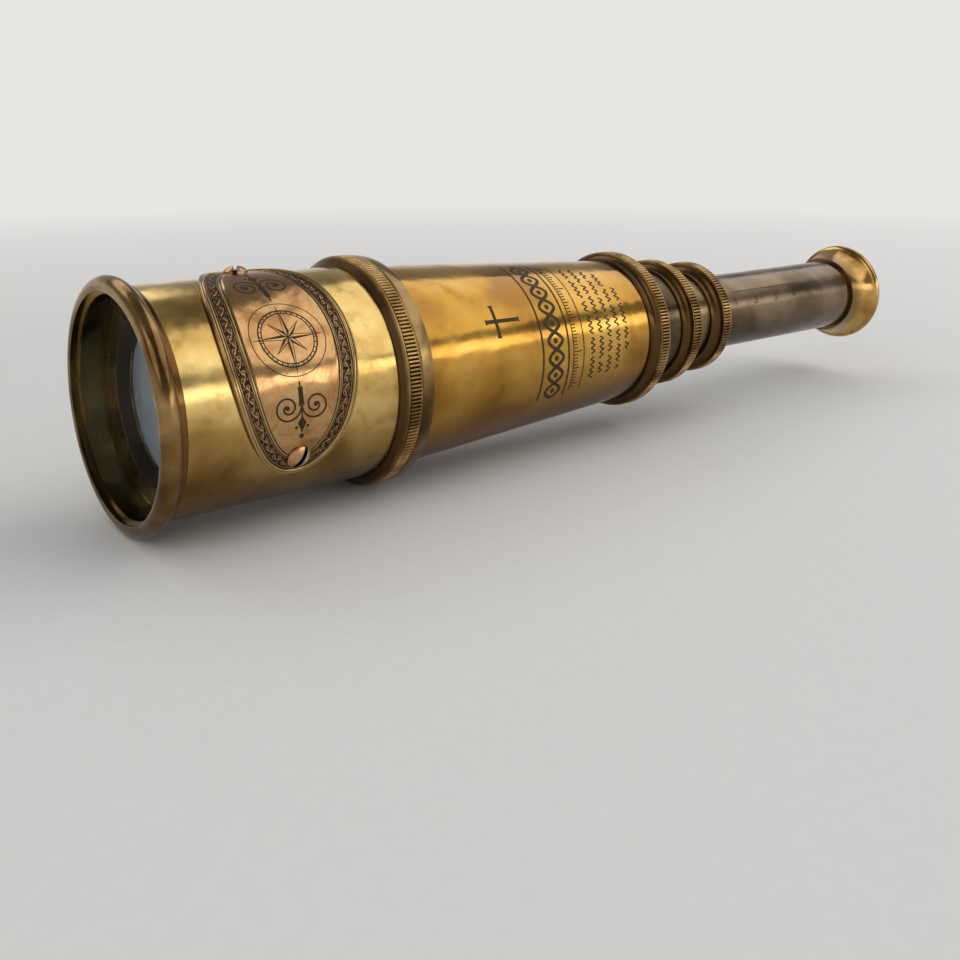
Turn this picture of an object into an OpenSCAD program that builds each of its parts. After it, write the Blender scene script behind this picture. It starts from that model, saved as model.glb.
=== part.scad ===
// Three-draw brass spyglass, lying along X: the objective's rim faces -X and the eye cup +X.
// The optical axis is the X axis. X = 0 is the front edge of the hood tube, inside the rolled rim.
// The first two draws stand a little way out and the last is nearly fully out.

/* [Hood and rim] */
// Outer radius of the hood tube
hood_r = 25.5; // [24.8:0.1:26]
// Wall of the hood tube at its open mouth
hood_wall = 1.3; // [1:0.1:1.6]
// How far the threaded part of the hood's bore stands in from the mouth's bore
hood_thread = 0.5; // [0.4:0.05:0.8]
// Length of the hood tube
hood_len = 53.9; // [50:0.1:60]
// Radius of the rolled rim's bead, in section
bead_r = 2.24; // [1.8:0.02:2.6]
// Distance from the tube's front edge to the bead's middle
bead_x = 0.3; // [0:0.1:1]
// How far the bead's middle stands outside the hood tube
bead_rise = 0.3; // [0.2:0.02:0.7]
// How far the rim's lip covers the tube's front edge
rim_lip = 0.6; // [0.2:0.1:0.9]
// Height of the collar behind the bead, over the hood tube
rim_collar_h = 0.6; // [0.4:0.1:1.2]
// Distance from the tube's front edge to the back of the collar
rim_collar_len = 3.8; // [3.2:0.1:6]

/* [Objective] */
// Depth of the open mouth, from the tube's front edge to the retaining ring
mouth_depth = 6.7; // [5.5:0.1:9]
// Radius where the retaining ring's bevel begins
bezel_r = 19.6; // [18.8:0.1:21]
// Clear radius in front of the objective
clear_r = 16.8; // [15:0.1:17.2]
// Length of the retaining ring
retainer_len = 2.7; // [2:0.1:5]
// Radius of both lenses of the objective
objective_r = 18.2; // [17.6:0.1:19.5]
// Radius of curvature of the crown lens
crown_curve = 95; // [85:1:140]
// Thickness of the crown lens at its middle
crown_t = 5.1; // [4.8:0.1:6]
// Thickness of the flint lens at its middle
flint_t = 1.8; // [1.5:0.1:3]
// Thickness of the cell's lip behind the lenses
cell_lip = 2; // [1.2:0.1:3]

/* [Name plate] */
// Half the plate's length along the tube
plate_a = 15.3; // [12:0.1:16]
// Half the plate's length round the tube, measured along the arc
plate_b = 31; // [24:0.5:32]
// Distance from the tube's front edge to the plate's middle
plate_x = 28.7; // [26:0.1:32]
// How far round from the top, towards -Y, the plate's middle lies
plate_angle = 55; // [30:1:110]
// Thickness of the plate under its sunk border
plate_t = 0.55; // [0.4:0.05:0.9]
// How far the plate's raised edge stands above the border
plate_edge_h = 0.5; // [0.2:0.05:0.8]
// Width of the raised edge
plate_edge_w = 1.3; // [0.8:0.1:2]
// Width of the sunk border
plate_border_w = 3.0; // [2:0.1:4]
// How far the inner field stands above the border
plate_field_h = 0.22; // [0.1:0.02:0.4]

/* [Plate screws] */
// Radius of the domed head
screw_head_r = 2.75; // [2.2:0.05:3]
// Height of the domed head
screw_head_h = 1.7; // [1.3:0.1:2.2]
// Height of the head's upright side, under its dome
screw_side_h = 0.5; // [0.3:0.1:0.8]
// Width of the slot
screw_slot_w = 0.9; // [0.5:0.05:1.1]
// Depth of the slot
screw_slot_d = 0.9; // [0.5:0.05:1.1]
// How far the slot is turned from the tube's own direction
screw_turn = 61; // [0:1:180]
// Radius of the shank
screw_shank_r = 1.25; // [0.9:0.05:1.4]
// Length of the shank
screw_shank_len = 3.2; // [2.6:0.1:4.5]
// Distance from the plate's tip to the screw, measured along the arc
screw_edge = 4.6; // [3:0.1:6]

/* [Knurled rings] */
// Outer radius of the coupling ring between the hood and the barrel
coupling_r = 27.95; // [27.2:0.05:29]
// Length of the sloping face in front of the coupling ring's knurl
coupling_slope = 1.2; // [0.8:0.1:2]
// Height of that face's foot over the hood tube
coupling_foot = 0.4; // [0.2:0.1:1]
// How far the barrel's end ring stands above the barrel
barrel_ring_h = 2.2; // [1.4:0.1:4]
// How far the first draw's end ring stands above its tube
draw_one_ring_h = 2.6; // [2:0.05:4]
// How far the second draw's end ring stands above its tube
draw_two_ring_h = 3.05; // [2.5:0.05:4.5]
// Pitch of the straight knurl round each ring
knurl_pitch = 0.91; // [0.85:0.01:1.2]
// Depth of the knurl's grooves
knurl_depth = 0.42; // [0.3:0.02:0.6]
// Width of every knurled band
knurl_w = 2.9; // [2.4:0.1:3.6]
// Width of the plain lip each side of a knurled band
lip_w = 0.4; // [0.3:0.05:0.8]
// Length of the cove in front of each end ring
cove_len = 2.5; // [2:0.1:4]
// Height of each end ring's foot over its tube, in front of the cove
ring_foot = 0.35; // [0.2:0.05:0.6]
// Length of each end ring behind its draw's tube
ring_back = 1.2; // [0.8:0.1:1.6]
// Length of each threaded spigot
spigot_len = 6; // [4:0.5:8]
// Wall of each threaded spigot
spigot_wall = 1.3; // [1:0.1:1.6]

/* [Barrel] */
// Outer radius of the barrel where it leaves its collar
barrel_r1 = 24.85; // [24.2:0.05:25.4]
// Outer radius of the barrel at its end ring
barrel_r2 = 20.3; // [19.8:0.1:21]
// Wall of the barrel
barrel_wall = 1.0; // [0.8:0.1:1.2]
// Length of the barrel between its collar and its end ring
barrel_len = 78; // [76:0.5:90]
// Length of the collar, from the coupling ring to the barrel
collar_len = 5.2; // [4.5:0.1:7]
// How far the collar's bead lies below the coupling ring's knurl
collar_drop = 0.15; // [0.1:0.05:1]
// Radius of the collar's bead, in section
collar_bead_r = 10; // [7:0.1:12]
// Distance from the collar's front to the crown of its bead
collar_crown = 0.5; // [0.2:0.1:1.5]
// Chamfer on both edges of the bead
collar_edge = 0.4; // [0.2:0.05:0.8]
// Length of the plain foot between the collar's bead and the barrel
collar_foot_len = 1.8; // [0.8:0.1:2.4]
// Height of that foot over the barrel
collar_foot_h = 0.6; // [0.3:0.1:1]

/* [Draws] */
// Outer radius of the third and narrowest draw
draw_three_r = 11.65; // [11.4:0.05:11.9]
// Difference in radius from each draw to the next
draw_step = 2.3; // [2.2:0.05:2.5]
// Wall of every draw tube
draw_wall = 0.8; // [0.7:0.05:0.9]
// Length of the first draw's tube
draw_one_len = 119; // [114:1:122]
// Length of the second draw's tube
draw_two_len = 114; // [110:1:116]
// Length of the third draw's tube
draw_three_len = 112; // [108:1:113]
// Length of each guide that a draw slides in
guide_len = 19; // [14:1:22]
// Length of the stop ring at each draw's inner end
stop_len = 7; // [5:0.5:9]
// How much of each guide is not split by its slots
guide_solid = 5; // [3:0.5:8]
// Width of the slots that split a guide
guide_slot_w = 0.8; // [0.5:0.1:1.2]
// How far the barrel's guide reaches into the barrel's end ring
guide_proud = 3; // [2:0.1:4]
// Length of the flange that seats the guide in the barrel's end
guide_flange_len = 4; // [3:0.5:6]
// Thickness of each stop ring under the groove for its tube
stop_floor = 1.5; // [1:0.1:3]
// Wall of each stop ring inside its tube
stop_wall = 0.6; // [0.4:0.05:0.8]
// Gap between the first draw's stop ring and the inside of the barrel's narrow end
stop_air = 0.2; // [0.1:0.05:0.4]
// Running clearance between a draw and its guide, on the radius
slide_gap = 0.05; // [0.03:0.01:0.1]
// How far the first draw stands out, in the position drawn
draw_one_out = 11.8; // [0.3:0.1:60]
// How far the second draw stands out, in the position drawn
draw_two_out = 9.7; // [0.3:0.1:60]
// How far the third draw stands out, in the position drawn
draw_three_out = 71.9; // [20:0.1:78]

/* [Eyepiece] */
// Outer radius of the eye cup
cup_r = 16.4; // [15:0.1:18]
// Length of the cup's flare, from its neck to its widest point
cup_flare_len = 10.2; // [9:0.1:12]
// Wall of the cup's neck, over the third draw
cup_neck_wall = 1.05; // [0.8:0.05:1.4]
// How far the third draw's tube reaches into the cup
cup_seat_len = 4; // [3:0.1:5]
// Radius of the cup's rolled back edge, in section
cup_edge_r = 1.6; // [1.2:0.1:2]
// Depth of the dish round the eye hole
cup_dish = 3.0; // [2:0.1:4]
// Radius of the eye hole
eye_hole_r = 5; // [4:0.1:6]
// Length of the eye hole's wall
eye_hole_len = 2.4; // [1.8:0.1:3]
// Wall of the tubes inside the third draw
inner_wall = 1.1; // [0.9:0.1:1.3]
// Length of the tube that holds the eyepiece's lenses
eyepiece_len = 30; // [27:1:36]
// Length of the eyepiece tube behind the eye lens
eye_lens_in = 2.2; // [1.5:0.1:3]
// Length of the eye lens's seat in front of it
eye_seat_len = 2.6; // [2:0.1:3.5]
// Radius of the eye lens
eye_lens_r = 7.6; // [7:0.1:8]
// Width of every ring that holds a lens of the eyepiece or erector
lens_ring_w = 1.3; // [1:0.1:1.6]
// Thickness of the eye lens
eye_lens_t = 3.2; // [3:0.1:4]
// Radius of curvature of the eye lens
eye_lens_curve = 16; // [14:0.5:24]
// Thickness of the field lens
field_lens_t = 3.6; // [3.4:0.1:5]
// Radius of curvature of the field lens
field_lens_curve = 22; // [20:0.5:30]
// Depth of the field lens inside the eyepiece tube
field_lens_in = 3.2; // [2.6:0.1:5]
// Depth of the field stop inside the eyepiece tube
field_stop_in = 13; // [10:0.5:18]
// Radius of the field stop's hole
field_stop_r = 5.6; // [4:0.1:6.5]

/* [Erector] */
// Length of the erector's two cells and tube together
erector_len = 44; // [38:1:48]
// Radius of both erector lenses
erector_lens_r = 7.4; // [7:0.1:8]
// Thickness of both erector lenses
erector_lens_t = 2.6; // [2.4:0.1:3.6]
// Radius of curvature of both erector lenses
erector_curve = 20; // [18:0.5:30]
// Thickness of each cell's flange
cell_flange = 1.2; // [1:0.1:1.6]
// Length of each cell
cell_len = 6; // [5:0.1:8]
// Radius of the hole in the erector's stop
erector_stop_r = 1.8; // [1:0.1:3]
// Thickness of both stops
stop_plate = 1.2; // [0.8:0.1:2]

/* [Hidden] */
$fn = 128;
// Number of sides where a large circle is only used for a short arc
arc_sides = 720;

// Gap between pieces that screw or press together, and between a draw and its stop when shut
fit = 0.03;
shut_gap = 0.3;
// Gap round a screw's head, and between the third draw's stop ring and the erector
screw_head_gap = 0.1;
inner_air = 1;

// Hood and objective
mouth_bore = hood_r - hood_wall;
hood_seat = mouth_bore - hood_thread;
retainer_end = mouth_depth + retainer_len;
crown_front = retainer_end - sag(crown_curve, clear_r) + fit;
flint_front = crown_front + crown_t + fit;
flint_back = flint_front + flint_t;
cell_end = flint_back + fit + cell_lip;
plate_top = hood_r + plate_t;
screw_arc = plate_b - screw_edge;

// Coupling ring, collar and barrel
coupling_bore = hood_seat - fit - spigot_wall;
coupling_knurl = hood_len + coupling_slope + lip_w;
coupling_end = coupling_knurl + knurl_w + lip_w;
barrel_start = coupling_end + collar_len;
barrel_end = barrel_start + barrel_len;
barrel_taper = (barrel_r1 - barrel_r2) / barrel_len;
barrel_seat = barrel_r1 - barrel_wall - barrel_taper * spigot_len - fit;
barrel_bore = barrel_r2 - barrel_wall;

// Draws, from the widest
draw_two_r = draw_three_r + draw_step;
draw_one_r = draw_two_r + draw_step;
guide_wall = draw_step - draw_wall;
barrel_guide_r = draw_one_r + guide_wall;
end_ring_len = cove_len + 2 * lip_w + knurl_w;
draw_one_ring = barrel_end + end_ring_len + draw_one_out;
draw_two_ring = draw_one_ring + end_ring_len + draw_two_out;
cup_start = draw_two_ring + end_ring_len + draw_three_out;
draw_one_end = draw_one_ring + end_ring_len - ring_back;
draw_two_end = draw_two_ring + end_ring_len - ring_back;
draw_three_end = cup_start + cup_seat_len;
draw_one_start = draw_one_end - draw_one_len;
draw_two_start = draw_two_end - draw_two_len;
draw_three_start = draw_three_end - draw_three_len;
barrel_guide_end = barrel_end + guide_proud;

// Eyepiece and erector
cup_neck_r = draw_three_r + cup_neck_wall;
cup_wide = cup_start + cup_flare_len;
cup_back = cup_wide + cup_edge_r;
eye_hole_back = cup_back - cup_dish;
eyepiece_end = eye_hole_back - eye_hole_len;
eyepiece_start = eyepiece_end - eyepiece_len;
inner_tube_r = draw_three_r - draw_wall - slide_gap;
inner_bore = inner_tube_r - inner_wall;
eye_lens_back = eyepiece_end - eye_lens_in;
eye_lens_front = eye_lens_back - fit - eye_lens_t;
eye_lens_seat = eye_lens_front - eye_seat_len;
field_lens_r = inner_bore - fit;
field_lens_front = eyepiece_start + field_lens_in;
erector_start = draw_three_start + stop_len + inner_air;
erector_end = erector_start + erector_len;
erector_middle = (erector_start + erector_end) / 2;

// Travel of each draw from the position drawn, in and out
echo(draw_one = [shut_gap - draw_one_out, barrel_guide_end - fit - guide_len - draw_one_start - stop_len]);
echo(draw_two = [shut_gap - draw_two_out, draw_one_end - fit - guide_len - draw_two_start - stop_len]);
echo(draw_three = [shut_gap - draw_three_out, draw_two_end - fit - guide_len - draw_three_start - stop_len]);

// Depth of a curve at radius r
function sag(curve, r) = curve - sqrt(curve * curve - r * r);

// A profile drawn as [radius, X] and turned round the optical axis
module turned() rotate([0, 90, 0]) rotate_extrude() children();

// A rectangle of the profile, from radius r1 to r2 and from x1 to x2
module wall(r1, r2, x1, x2) translate([r1, x1]) square([r2 - r1, x2 - x1]);

// The same with its outer corners taken off by c
module land(r1, r2, x1, x2, c) polygon([
    [r1, x1], [r2 - c, x1], [r2, x1 + c], [r2, x2 - c], [r2 - c, x2], [r1, x2]
]);

// Moves what is drawn at X = 0 along the optical axis
module at(x) translate([x, 0, 0]) children();

// A plain tube
module tube(outer, inner, x1, x2) turned() wall(inner, outer, x1, x2);

// A band of straight knurl from x1 to x2, its lands at radius r
module knurl(r, x1, x2) {
    count = round(2 * PI * r / knurl_pitch);
    step = 360 / count;
    half_land = 0.21 * step;
    root = r - knurl_depth;
    translate([x1, 0, 0]) rotate([0, 90, 0]) linear_extrude(x2 - x1) difference() {
        polygon([for (i = [0 : count - 1]) each [
            [r * cos(i * step - half_land), r * sin(i * step - half_land)],
            [r * cos(i * step + half_land), r * sin(i * step + half_land)],
            [root * cos((i + 0.5) * step), root * sin((i + 0.5) * step)]
        ]]);
        circle(root - knurl_depth);
    }
}

// The lips each side of a knurled band that starts at x, and the core between them
module knurl_bed(bore, r, x) {
    wall(bore, r - 1.5 * knurl_depth, x - lip_w, x + knurl_w + lip_w);
    land(bore, r - 0.1, x - lip_w, x, 0.15);
    land(bore, r - 0.1, x + knurl_w, x + knurl_w + lip_w, 0.15);
}

// Part of a solid of revolution that is flat at x_flat and curved at the other end
module plano(r, x_flat, x_vertex, curve) {
    side = sign(x_flat - x_vertex);
    turned() intersection() {
        wall(0, r, min(x_flat, x_vertex), max(x_flat, x_vertex));
        translate([0, x_vertex + side * curve]) circle(curve, $fn = arc_sides);
    }
}

// Turns what is drawn along +Z to the plate, arc millimetres round from its middle
module on_plate(arc) translate([plate_x, 0, 0])
    rotate([plate_angle + arc / plate_top * 180 / PI, 0, 0]) children();

// The plate's oval, drawn in by inset, as a prism from the axis outwards
module plate_prism(inset) on_plate(0) linear_extrude(hood_r + 5) polygon([
    for (q = [0 : 5 : 355]) [
        (plate_a - inset) * cos(q),
        plate_top * sin((plate_b - inset) * sin(q) / plate_top * 180 / PI)
    ]
]);

// The part of that prism between two radii
module plate_layer(r1, r2, inset) intersection() {
    tube(r2, r1, plate_x - plate_a - 1, plate_x + plate_a + 1);
    plate_prism(inset);
}

module rim_ring() color("#b08a4a") turned() difference() {
    union() {
        translate([hood_r + bead_rise, bead_x]) circle(bead_r);
        land(hood_r - rim_lip, hood_r + rim_collar_h, bead_x, rim_collar_len, 0.25);
    }
    wall(0, hood_r - rim_lip, -bead_r, 1);
    wall(0, hood_r + fit, 0, rim_collar_len + 1);
}

module hood_tube() color("#c9a654") difference() {
    tube(hood_r, hood_seat, 0, hood_len);
    tube(mouth_bore, 0, -1, mouth_depth);
    for (side = [-1, 1]) on_plate(side * screw_arc) cylinder(r = screw_shank_r + fit, h = hood_r + 5);
}

// The plate without its screw holes, with a sunk border and a field inside it
module plate_blank() difference() {
    plate_layer(hood_r + fit, plate_top + plate_edge_h, 0);
    difference() {
        plate_layer(plate_top, hood_r + 3, plate_edge_w);
        plate_prism(plate_edge_w + plate_border_w);
    }
    plate_layer(plate_top + plate_field_h, hood_r + 3, plate_edge_w + plate_border_w - 0.02);
}

module name_plate() color("#c4935a") difference() {
    difference() {
        plate_blank();
        for (side = [-1, 1]) on_plate(side * screw_arc) cylinder(r = screw_shank_r + fit, h = hood_r + 5);
    }
    for (side = [-1, 1]) on_plate(side * screw_arc)
        translate([0, 0, plate_top]) cylinder(r = screw_head_r + screw_head_gap, h = 5);
}

// A screw whose head sits at z = 0, with a domed top and a short upright side
module plate_screw() {
    dome = screw_head_h - screw_side_h;
    curve = (screw_head_r * screw_head_r + dome * dome) / (2 * dome);
    difference() {
        union() {
            intersection() {
                cylinder(r = screw_head_r, h = screw_head_h);
                translate([0, 0, screw_head_h - curve]) sphere(curve);
            }
            translate([0, 0, -screw_shank_len]) cylinder(r = screw_shank_r, h = screw_shank_len + screw_side_h);
        }
        rotate([0, 0, screw_turn])
            translate([-screw_head_r - 1, -screw_slot_w / 2, screw_head_h - screw_slot_d])
                cube([2 * screw_head_r + 2, screw_slot_w, screw_slot_d + 1]);
    }
}
module plate_screws() color("#b9a06a") for (side = [-1, 1])
    on_plate(side * screw_arc) translate([0, 0, plate_top + fit]) plate_screw();

module objective_retaining_ring() color("#4a3a22") turned() polygon([
    [hood_seat - fit, mouth_depth], [bezel_r, mouth_depth], [clear_r, retainer_end - 0.3],
    [clear_r, retainer_end], [hood_seat - fit, retainer_end]
]);

module objective_crown_lens() color("#aebfd0") turned() intersection() {
    translate([0, crown_front + crown_curve]) circle(crown_curve, $fn = arc_sides);
    translate([0, crown_front + crown_t - crown_curve]) circle(crown_curve, $fn = arc_sides);
    wall(0, objective_r, crown_front - 1, crown_front + crown_t + 1);
}

module objective_flint_lens() color("#a3b4c6") turned() difference() {
    wall(0, objective_r, crown_front + crown_t / 2, flint_back);
    translate([0, flint_front - crown_curve]) circle(crown_curve, $fn = arc_sides);
}

module objective_cell() color("#3d3020") turned() difference() {
    wall(clear_r, hood_seat - fit, retainer_end + fit, cell_end);
    wall(0, objective_r + fit, retainer_end, flint_back + fit);
}

module coupling_ring() color("#a9823f") {
    turned() {
        wall(coupling_bore, hood_seat - fit, hood_len - spigot_len, hood_len + 1);
        polygon([
            [coupling_bore, hood_len], [hood_r + coupling_foot, hood_len],
            [coupling_r - 0.25, hood_len + coupling_slope], [coupling_bore, hood_len + coupling_slope]
        ]);
        knurl_bed(coupling_bore, coupling_r, coupling_knurl);
    }
    knurl(coupling_r, coupling_knurl, coupling_knurl + knurl_w);
}

module barrel_collar() color("#b88b4c") turned() {
    outer = coupling_r - collar_drop;
    front = coupling_bore - fit;
    bore = min(front, barrel_seat) - spigot_wall;
    intersection() {
        translate([outer - collar_bead_r, coupling_end + collar_crown]) circle(collar_bead_r, $fn = arc_sides);
        land(bore, outer, coupling_end, barrel_start - collar_foot_len, collar_edge);
    }
    land(bore, barrel_r1 + collar_foot_h, coupling_end, barrel_start, collar_foot_h / 2);
    wall(bore, front, coupling_end - spigot_len, coupling_end + 1);
    wall(bore, barrel_seat, coupling_end, barrel_start + spigot_len);
}

module barrel_tube() color("#b5862f") turned() polygon([
    [barrel_r1, barrel_start], [barrel_r2, barrel_end],
    [barrel_bore, barrel_end], [barrel_r1 - barrel_wall, barrel_start]
]);

// The knurled ring that ends a tube, with a cove in front from the tube up to the first lip
module end_ring(tube_r, height, bore, x) {
    r = tube_r + height;
    cove = height - ring_foot - 0.1;
    turned() difference() {
        union() {
            wall(bore, r - 0.1, x, x + cove_len);
            knurl_bed(bore, r, x + cove_len + lip_w);
        }
        translate([tube_r + ring_foot + cove, x + cove_len - cove]) circle(cove);
        wall(tube_r + ring_foot, r + 1, x - 1, x + cove_len - cove);
    }
    knurl(r, x + cove_len + lip_w, x + cove_len + lip_w + knurl_w);
}

module barrel_end_ring() color("#ab8140") difference() {
    end_ring(barrel_r2, barrel_ring_h, draw_one_r + 5 * slide_gap, barrel_end);
    tube(barrel_guide_r + fit, 0, barrel_end - 1, barrel_guide_end);
}

// A draw's end ring goes over its tube and closes the guide inside the tube's end
module draw_end_ring(tube_r, height, x) difference() {
    end_ring(tube_r, height, tube_r - draw_step + 5 * slide_gap, x);
    tube(tube_r + fit, 0, x - 1, x + end_ring_len - ring_back);
}

// The collar inside a tube's end that the next draw slides in, split by four slots
module guide(outer, bore, x_end) difference() {
    tube(outer - fit, bore + slide_gap, x_end - guide_len, x_end);
    for (turn = [45 : 90 : 315]) rotate([turn, 0, 0])
        translate([x_end - guide_len - 1, -guide_slot_w / 2, 0])
            cube([guide_len - guide_solid + 1, guide_slot_w, outer + 1]);
}

module barrel_guide() color("#8a6c38") {
    guide(barrel_guide_r, draw_one_r, barrel_guide_end - fit);
    // The flange that seats the guide in the barrel's end
    tube(barrel_bore - fit, barrel_guide_r - 0.2, barrel_end - guide_flange_len, barrel_end - fit);
}

// The ring on a draw's inner end that the guide stops, with a groove for the tube's end
module stop_ring(tube_r, outer, x) turned() difference() {
    wall(tube_r - draw_wall - stop_wall, outer, x, x + stop_len);
    wall(tube_r - draw_wall - fit, tube_r + fit, x + stop_floor, x + stop_len + 1);
}

// A draw's tube, from the bottom of its stop ring's groove to x2
module draw_tube(r, x1, x2) tube(r, r - draw_wall, x1 + stop_floor + fit, x2 - fit);

module draw_one_tube() color("#6f5a3c") draw_tube(draw_one_r, draw_one_start, draw_one_end);
module draw_one_stop() color("#8a6c38")
    stop_ring(draw_one_r, barrel_guide_r - stop_air, draw_one_start);
module draw_one_end_ring() color("#a58045")
    draw_end_ring(draw_one_r, draw_one_ring_h, draw_one_ring);
module draw_one_guide() color("#8a6c38")
    guide(draw_one_r - draw_wall, draw_two_r, draw_one_end - fit);

module draw_two_tube() color("#86703f") draw_tube(draw_two_r, draw_two_start, draw_two_end);
module draw_two_stop() color("#8a6c38")
    stop_ring(draw_two_r, draw_one_r - draw_wall - slide_gap, draw_two_start);
module draw_two_end_ring() color("#a58045")
    draw_end_ring(draw_two_r, draw_two_ring_h, draw_two_ring);
module draw_two_guide() color("#8a6c38")
    guide(draw_two_r - draw_wall, draw_three_r, draw_two_end - fit);

module draw_three_tube() color("#6d6150") draw_tube(draw_three_r, draw_three_start, draw_three_end);
module draw_three_stop() color("#8a6c38")
    stop_ring(draw_three_r, draw_two_r - draw_wall - slide_gap, draw_three_start);

// The cup's flare is one hollow arc: it leaves the neck level and is steepest at the widest point
module eye_cup() color("#c79b5b") turned() {
    rise = cup_r - cup_neck_r;
    flare = (cup_flare_len * cup_flare_len + rise * rise) / (2 * rise);
    difference() {
        union() {
            difference() {
                wall(eye_hole_r, cup_r, cup_start, cup_wide);
                translate([cup_neck_r + flare, cup_start]) circle(flare, $fn = arc_sides);
            }
            translate([cup_r - cup_edge_r, cup_wide]) circle(cup_edge_r);
            wall(eye_hole_r, cup_r - cup_edge_r, cup_wide - 1, cup_back);
        }
        polygon([
            [0, eye_hole_back], [eye_hole_r + 1, eye_hole_back],
            [cup_r - 2 * cup_edge_r, cup_back + fit], [0, cup_back + fit]
        ]);
        wall(0, draw_three_r + fit, cup_start - 1, draw_three_end);
        wall(0, inner_tube_r + fit, cup_start - 1, eyepiece_end);
    }
}

module eyepiece_tube() color("#3d3020") turned() difference() {
    wall(eye_lens_r - lens_ring_w, inner_tube_r, eyepiece_start, eyepiece_end - fit);
    wall(0, inner_bore, eyepiece_start - 1, eye_lens_seat);
    wall(0, eye_lens_r + fit, eye_lens_seat - 1, eye_lens_back);
}
module eye_lens() color("#aebfd0") plano(eye_lens_r, eye_lens_back - fit, eye_lens_front, eye_lens_curve);
module eye_lens_retainer() color("#3d3020") tube(
    eye_lens_r, eye_lens_r - lens_ring_w,
    eye_lens_seat, eye_lens_front + sag(eye_lens_curve, eye_lens_r - lens_ring_w) - fit
);
module field_stop() color("#2e2418")
    at(eyepiece_start + field_stop_in) tube(inner_bore - fit, field_stop_r, 0, stop_plate);
module field_lens() color("#a3b4c6")
    plano(field_lens_r, field_lens_front + field_lens_t, field_lens_front, field_lens_curve);
module field_lens_retainer() color("#3d3020") tube(
    field_lens_r, field_lens_r - lens_ring_w,
    eyepiece_start, field_lens_front + sag(field_lens_curve, field_lens_r - lens_ring_w) - fit
);

module erector_tube() color("#54431f")
    tube(inner_tube_r, inner_bore, erector_start + cell_flange + fit, erector_end - cell_flange - fit);

// The erector's end pieces are drawn for its front end, with the flange starting at X = 0
module at_front() at(erector_start) children();
module at_rear() translate([erector_end, 0, 0]) mirror([1, 0, 0]) children();
module erector_cell() turned() {
    wall(erector_lens_r - lens_ring_w, inner_tube_r, 0, cell_flange);
    wall(erector_lens_r + fit, inner_bore - fit, cell_flange - 0.2, cell_len);
}
erector_vertex = cell_flange + fit + erector_lens_t;
module erector_lens() plano(erector_lens_r, cell_flange + fit, erector_vertex, erector_curve);
module erector_retainer() tube(
    erector_lens_r, erector_lens_r - lens_ring_w,
    erector_vertex - sag(erector_curve, erector_lens_r - lens_ring_w) + fit, cell_len
);

module erector_front_cell() color("#3d3020") at_front() erector_cell();
module erector_front_lens() color("#aebfd0") at_front() erector_lens();
module erector_front_retainer() color("#3d3020") at_front() erector_retainer();
module erector_stop() color("#2e2418")
    tube(inner_bore - fit, erector_stop_r, erector_middle - stop_plate / 2, erector_middle + stop_plate / 2);
module erector_rear_cell() color("#3d3020") at_rear() erector_cell();
module erector_rear_lens() color("#aebfd0") at_rear() erector_lens();
module erector_rear_retainer() color("#3d3020") at_rear() erector_retainer();

rim_ring();
hood_tube();
name_plate();
plate_screws();
objective_retaining_ring();
objective_crown_lens();
objective_flint_lens();
objective_cell();
coupling_ring();
barrel_collar();
barrel_tube();
barrel_end_ring();
barrel_guide();
draw_one_tube();
draw_one_stop();
draw_one_end_ring();
draw_one_guide();
draw_two_tube();
draw_two_stop();
draw_two_end_ring();
draw_two_guide();
draw_three_tube();
draw_three_stop();
eye_cup();
eyepiece_tube();
eye_lens();
eye_lens_retainer();
field_stop();
field_lens();
field_lens_retainer();
erector_tube();
erector_front_cell();
erector_front_lens();
erector_front_retainer();
erector_stop();
erector_rear_cell();
erector_rear_lens();
erector_rear_retainer();
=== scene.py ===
import math

import bmesh
import bpy
from mathutils import Matrix, Vector


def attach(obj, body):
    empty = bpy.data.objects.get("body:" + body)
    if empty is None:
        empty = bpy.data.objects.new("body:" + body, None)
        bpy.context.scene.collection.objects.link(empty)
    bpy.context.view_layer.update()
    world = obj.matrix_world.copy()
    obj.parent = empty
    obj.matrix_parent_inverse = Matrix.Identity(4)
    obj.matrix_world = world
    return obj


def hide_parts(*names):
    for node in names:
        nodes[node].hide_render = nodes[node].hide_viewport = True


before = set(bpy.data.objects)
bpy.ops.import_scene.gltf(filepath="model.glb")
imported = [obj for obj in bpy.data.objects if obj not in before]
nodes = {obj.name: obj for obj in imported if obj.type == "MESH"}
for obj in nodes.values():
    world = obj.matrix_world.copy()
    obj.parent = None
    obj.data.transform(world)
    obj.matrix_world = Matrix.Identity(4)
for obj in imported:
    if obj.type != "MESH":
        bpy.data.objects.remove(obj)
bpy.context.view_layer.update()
scene = bpy.context.scene
scene.view_settings.view_transform = "Standard"

MM = 0.001

# Places in the CAD model, in mm. X runs along the optical axis from the hood's front edge to the
# eye and Z is up. A turn goes round the axis from the top towards -Y, in radians.
FLOOR_Z = -28.05
PLATE = dict(x=28.7, turn=math.radians(55), a=15.3, b=31.0, top=26.05, base=25.5,
             edge=1.3, border=3.0)
FIELD_R = PLATE["top"] + 0.235
SCREW_TURNS = (math.radians(113.06), math.radians(-3.06))
SLOT_TURN = math.radians(61)
SLOT_HALF = 0.52
KNURL_LEN = 2.9
BARREL_X1, BARREL_R1 = 64.0, 24.85
BARREL_X2, BARREL_R2 = 142.0, 20.3
DRAW_THREE_R = 11.65

# The camera as fitted to the photograph's outlines, in metres.
CAMERA_PLACE = (-0.0765, -0.2139, 0.0572)
CAMERA_RIGHT = (0.783, -0.622, 0.0)
CAMERA_FORWARD = (0.607, 0.763, -0.2215)


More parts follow.
